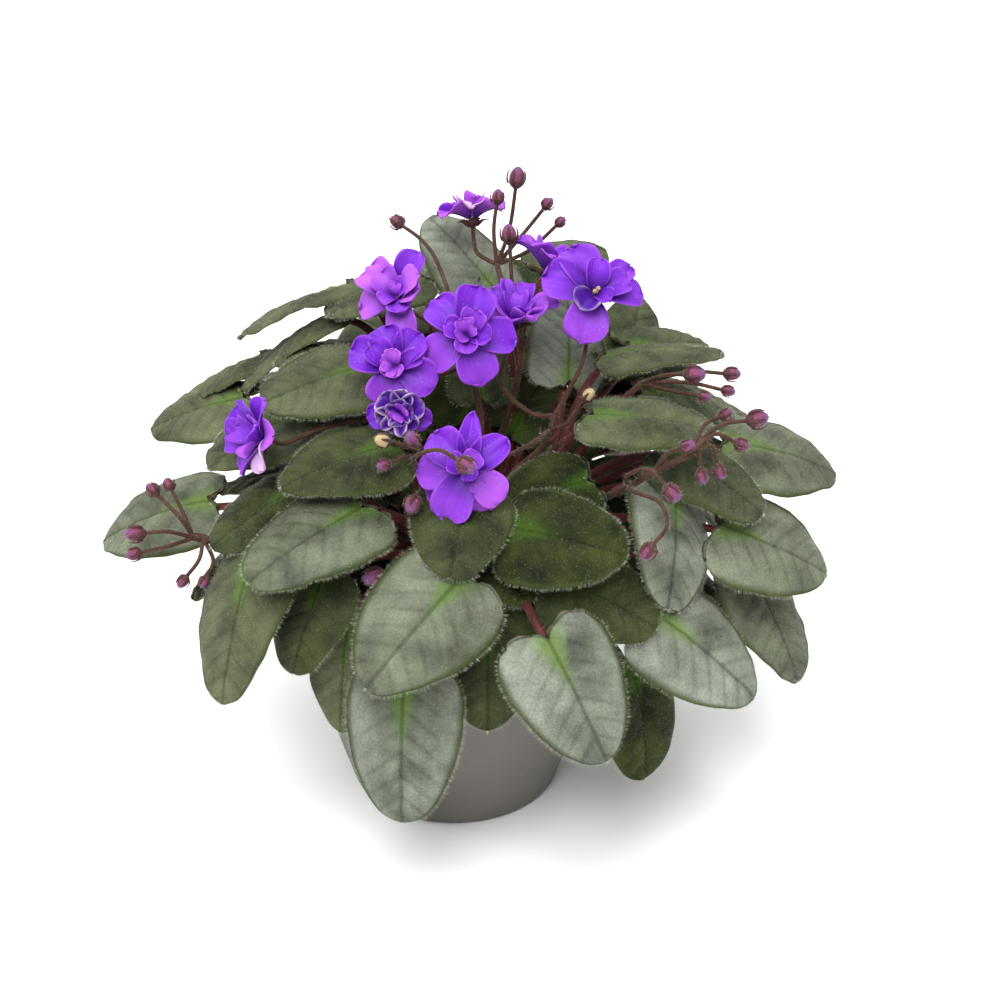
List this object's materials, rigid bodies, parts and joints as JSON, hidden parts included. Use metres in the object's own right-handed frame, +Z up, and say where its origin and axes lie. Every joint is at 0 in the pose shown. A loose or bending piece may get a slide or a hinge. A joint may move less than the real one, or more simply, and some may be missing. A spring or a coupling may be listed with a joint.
{
  "type": "potted african violet",
  "caption": "Trailing African violet in bloom: a low dome of hairy heart-shaped leaves with double purple flowers and hanging buds, in a small tapered grey nursery pot.",
  "frame": {"origin": "the middle of the pot's flat foot, on the surface it stands on", "axes": "+Z up along the pot's axis; the front of the plant, with most of its blooms, faces -Y; +X is to the right seen from the front"},
  "size_m": [0.2311, 0.2063, 0.1954],
  "materials": {
    "pot": "matt grey moulded plastic, slightly lighter at the rim",
    "soil": "dark, damp peat compost with pale perlite grains",
    "stalk": "matt dark maroon, finely hairy",
    "leaf": "velvety olive green with a silvery sheen, paler along the veins, maroon beneath",
    "petal": "soft violet with a faint sparkle, paler at the edges",
    "bud": "matt mauve and maroon, hairy"
  },
  "bodies": {
    "root": {"pot": "pot", "soil": "soil", "crown": "stalk", "leaf_01": "leaf", "leaf_02": "leaf", "leaf_03": "leaf", "leaf_04": "leaf", "leaf_05": "leaf", "leaf_06": "leaf", "leaf_07": "leaf", "leaf_08": "leaf", "leaf_09": "leaf", "leaf_10": "leaf", "leaf_11": "leaf", "leaf_12": "leaf", "leaf_13": "leaf", "leaf_14": "leaf", "leaf_15": "leaf", "leaf_16": "leaf", "leaf_17": "leaf", "leaf_18": "leaf", "leaf_19": "leaf", "leaf_20": "leaf", "leaf_21": "leaf", "leaf_22": "leaf", "leaf_23": "leaf", "leaf_24": "leaf", "leaf_25": "leaf", "leaf_26": "leaf", "leaf_27": "leaf", "leaf_28": "leaf", "leaf_29": "leaf", "leaf_30": "leaf", "leaf_31": "leaf", "leaf_32": "leaf", "leaf_33": "leaf", "leaf_34": "leaf", "leaf_35": "leaf", "leaf_36": "leaf", "leaf_37": "leaf", "leaf_38": "leaf", "leaf_39": "leaf", "bloom_01": "petal", "bloom_02": "petal", "bloom_03": "petal", "bloom_04": "petal", "bloom_05": "petal", "bloom_06": "petal", "bloom_07": "petal", "bloom_08": "petal", "bloom_09": "petal", "bloom_10": "petal", "spray_01": "bud", "spray_02": "bud", "spray_03": "bud", "spray_04": "bud", "spray_05": "bud", "spray_06": "bud", "spray_07": "bud"}
  },
  "joints": []
}
